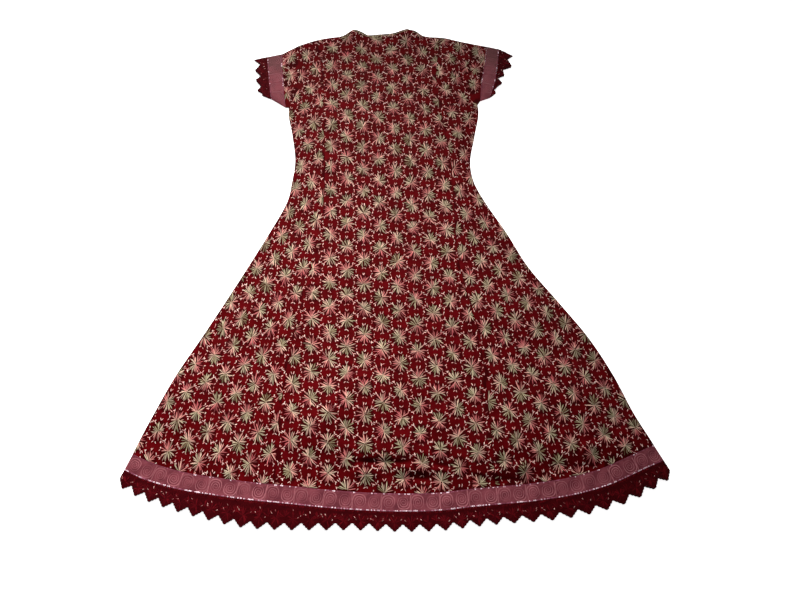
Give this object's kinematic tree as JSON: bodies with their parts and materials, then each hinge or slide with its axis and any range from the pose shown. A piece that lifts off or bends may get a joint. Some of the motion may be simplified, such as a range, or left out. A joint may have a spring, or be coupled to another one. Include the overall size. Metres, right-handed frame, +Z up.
{
  "type": "flared short-sleeved dress",
  "caption": "Child's long flared dress laid flat, with cap sleeves, ribbon bands and pointed lace at hem and sleeve ends.",
  "frame": {"origin": "middle of the dress's outline, on the surface that it lies on", "axes": "+X across the dress to the right seen from above with the hem near, +Y from the hem to the neck, +Z up from the surface"},
  "size_m": [0.7764, 0.8876, 0.0117],
  "materials": {
    "cloth": "matt crimson cotton with close thread embroidery",
    "ribbon": "soft dusty pink woven ribbon with a slight sheen",
    "lace": "dense dark crimson lace"
  },
  "bodies": {
    "root": {"front_centre": "cloth", "front_left": "cloth", "front_right": "cloth", "back_centre": "cloth", "back_left": "cloth", "back_right": "cloth", "sleeve_left": "cloth", "sleeve_right": "cloth", "sleeve_ribbon_left": "ribbon", "sleeve_ribbon_right": "ribbon", "sleeve_lace_left": "lace", "sleeve_lace_right": "lace", "hem_ribbon": "ribbon", "hem_lace": "lace"}
  },
  "joints": []
}
